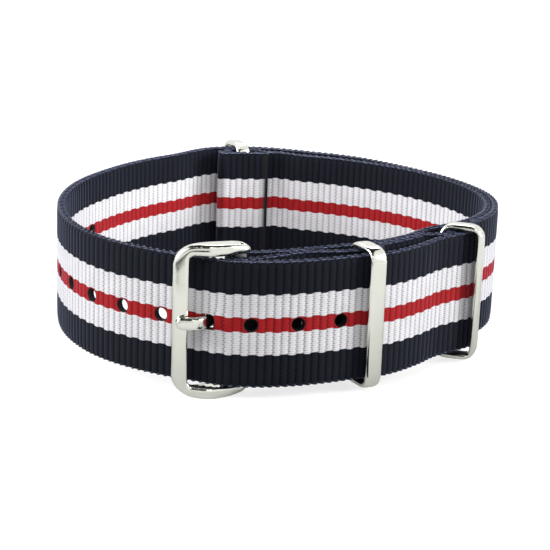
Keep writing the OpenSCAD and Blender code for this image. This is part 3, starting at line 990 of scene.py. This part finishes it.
@dataclass(frozen=True)
class Studio:
    """A white floor, an even white surround and soft lamps, seen from the photograph's place.

    The camera's values follow from the photograph: focal length and frame in its pixels, pitch
    and roll in degrees. The floor and surround are white to the eye. The light that they give to
    the webbing is weaker, and is set by surround and paper. The steel sees a white surround and
    a floor with painted shade near the strap, which brightens away from it, from
    painted_shade_glow to far_glow over the two distances of glow_reach.
    """

    focal_px: float = 1668.35
    frame_px: int = 550
    pitch: float = 16.325
    roll: float = 2.078
    distance: float = 278.1 * MM
    height: float = 89.23 * MM
    aside: float = -0.575 * MM
    surround: float = 0.37
    paper: str = "9c9c9c"
    eye_glow: float = 0.75
    painted_shade_glow: float = 0.2
    far_glow: float = 0.42
    glow_reach: tuple[float, float] = (45 * MM, 95 * MM)

    def build(self) -> None:
        """Builds the camera, floor, surround, cards and lamps."""
        self._camera()
        self._world()
        self._floor()
        self._cards()
        self._lamps()
        bpy.context.scene.view_settings.view_transform = "Standard"
        LOG.info("studio: camera, floor, cards and lamps")

    def _camera(self) -> None:
        """Puts the camera where the photograph was taken from."""
        data = bpy.data.cameras.new("photo_camera")
        data.sensor_width = 36.0
        data.lens = self.focal_px / self.frame_px * data.sensor_width
        data.clip_start, data.clip_end = 0.01, 10.0
        camera = bpy.data.objects.new("photo_camera", data)
        bpy.context.collection.objects.link(camera)
        place = Matrix.Translation((self.aside, -self.distance, self.height))
        tilt = Matrix.Rotation(math.radians(90 - self.pitch), 4, "X")
        camera.matrix_world = place @ tilt @ Matrix.Rotation(math.radians(self.roll), 4, "Z")
        bpy.context.scene.camera = camera

    def _world(self) -> None:
        """Makes the surround white to the eye and to the steel, and weaker on the webbing."""
        world = bpy.data.worlds.new("white_surround")
        bpy.context.scene.world = world
        world.use_nodes = True
        nodes = Nodes(world.node_tree)
        ray = nodes.add("LightPath").outputs
        seen = nodes.math("MAXIMUM", ray["Is Camera Ray"], ray["Is Glossy Ray"])
        seen = nodes.math("MAXIMUM", seen, ray["Is Transmission Ray"])
        strength = nodes.span(seen, 0.0, 1.0, self.surround, 1.0)
        glow = nodes.add("Background", {"Color": to_linear("ffffff"), "Strength": strength})
        nodes.add("OutputWorld", {"Surface": glow.outputs[0]})

    def _floor(self) -> bpy.types.Object:
        """Lays a plain white sheet under the strap, which the steel sees darkened by painted shade near
        the strap.
        """
        shader = Shader("white_floor_sheet")
        grain = shader.add("TexNoise", {"Scale": 900.0, "Detail": 2.0}).outputs["Fac"]
        sheet = {"Color": to_linear(self.paper), "Normal": shader.bump(grain, 0.02 * MM, 0.1)}
        paper = shader.add("BsdfDiffuse", sheet).outputs[0]
        ray = shader.add("LightPath").outputs
        mirrored = shader.math("MAXIMUM", ray["Is Glossy Ray"], ray["Is Transmission Ray"])
        place = shader.add("TexCoord").outputs["Object"]
        away = shader.add("VectorMath", {0: place}, operation="LENGTH").outputs["Value"]
        # Painted shade on the floor, seen only in the steel: darker near the strap.
        near, far = self.glow_reach
        floor_painted_shade = shader.span(away, near, far, self.painted_shade_glow, self.far_glow, smooth=True)
        strength = shader.math("MULTIPLY", mirrored, floor_painted_shade)
        strength = shader.math("MULTIPLY_ADD", ray["Is Camera Ray"], self.eye_glow, strength)
        glow = shader.add("Emission", {"Color": to_linear("ffffff"), "Strength": strength}).outputs[0]
        both = shader.add("AddShader", {0: paper, 1: glow}).outputs[0]
        bpy.ops.mesh.primitive_plane_add(size=6.0, location=(0, 0, 0))
        floor = bpy.context.object
        floor.name = "floor"
        floor.data.materials.append(shader.finish(both))
        return floor

    def _cards(self) -> list[bpy.types.Object]:
        """Sets up dark cards that only the polished steel sees, as painted reflections for its black
        streaks; the one before the front keeper stands for painted shade on the floor there.
        """
        shader = Shader("black_card")
        black = shader.add("BsdfDiffuse", {"Color": to_linear("15160f")})
        material = shader.finish(black.outputs[0])
        cards = []
        for name, place, turn, size in (
            ("card_by_camera", (-0.12, -0.36, 0.24), (70, 0, -12), (0.20, 0.34)),
            ("card_over_strap", (-0.01, -0.041, 0.084), (0, 0, 0), (0.108, 0.108)),
            ("card_before_buckle", (-0.071, -0.115, 0.001), (0, 0, -39.6), (0.13, 0.06)),
            # Painted shade on the floor just before the front keeper, seen only in the steel.
            ("shade_card_before_keeper", (0.008, -0.051, 0.001), (0, 0, 0), (0.016, 0.02)),
        ):
            angles = [math.radians(t) for t in turn]
            bpy.ops.mesh.primitive_plane_add(size=1.0, location=place, rotation=angles)
            card = bpy.context.object
            card.name = name
            card.scale = (size[0], size[1], 1)
            card.data.materials.append(material)
            card.visible_camera = card.visible_diffuse = card.visible_shadow = False
            cards.append(card)
        return cards

    def _lamps(self) -> None:
        """Hangs soft boxes all round, which bring out the ribs, and one for the loop's inside."""
        middle = (0.0, 0.0, 0.0)
        for name, place, aim, power, size, spread in (
            ("softbox_left", (-0.80, -0.08, 0.35), middle, 9.2, 0.5, 180),
            ("softbox_right", (0.80, -0.14, 0.35), middle, 8.6, 0.4, 180),
            ("softbox_front", (0.0, -0.45, 0.75), middle, 3.1, 0.5, 180),
            ("softbox_back", (0.0, 0.55, 0.75), middle, 2.6, 0.6, 180),
            ("softbox_over_loop", (0.015, -0.02, 0.1), (-0.02, 0.04, 0.01), 0.012, 0.04, 80),
        ):
            data = bpy.data.lights.new(name, "AREA")
            data.energy, data.size, data.spread = power, size, math.radians(spread)
            lamp = bpy.data.objects.new(name, data)
            bpy.context.collection.objects.link(lamp)
            lamp.location = place
            lamp.rotation_euler = (Vector(aim) - Vector(place)).to_track_quat("-Z", "Y").to_euler()


@dataclass
class WatchStrap:
    """The whole strap: two plies of webbing and the steel on them."""

    weave: WeaveSizes = field(default_factory=WeaveSizes)

    def build(self) -> None:
        """Builds the plies, then the buckle, spring bar and keepers."""
        low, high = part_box("main_strap")
        cloth = WovenNylon(self.weave, high.z - low.z).build()
        yarn = EdgeYarn().build()
        for node in ("main_strap", "short_strap"):
            Ply(node, self.weave, cloth, yarn).build()
        frame_wear = {"passes": 32, "regain": 0.08 * MM}
        tongue_wear = {"grain": 0.08 * MM, "passes": 60}
        keeper_wear = {"passes": 60, "regain": 0.05 * MM}
        for node, body, wear in (
            ("buckle_frame", "buckle", frame_wear),
            ("buckle_tongue", "tongue", tongue_wear),
            ("front_keeper", "front_ring", {"passes": 48}),
            ("side_keeper", "side_ring", keeper_wear),
            ("back_keeper", "back_ring", keeper_wear),
        ):
            Hardware(node, body, "polished_steel", POLISHED_STEEL, **wear).build()
        for node, steel in (
            ("bar_tube", SATIN_STEEL), ("upper_pivot", SATIN_STEEL), ("lower_pivot", SATIN_STEEL),
            ("bar_spring", SPRING_STEEL),
        ):
            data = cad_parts[node].data
            data.materials.clear()
            data.materials.append(steel.build())
            LOG.info("%s: CAD shape in %s", node, steel.name)


def main() -> None:
    """Builds the strap and the studio, and logs each piece as it is made."""
    logging.basicConfig(level=logging.INFO, format="%(name)s: %(message)s")
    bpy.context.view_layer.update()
    WatchStrap().build()
    Studio().build()


if __name__ == "__main__":
    main()
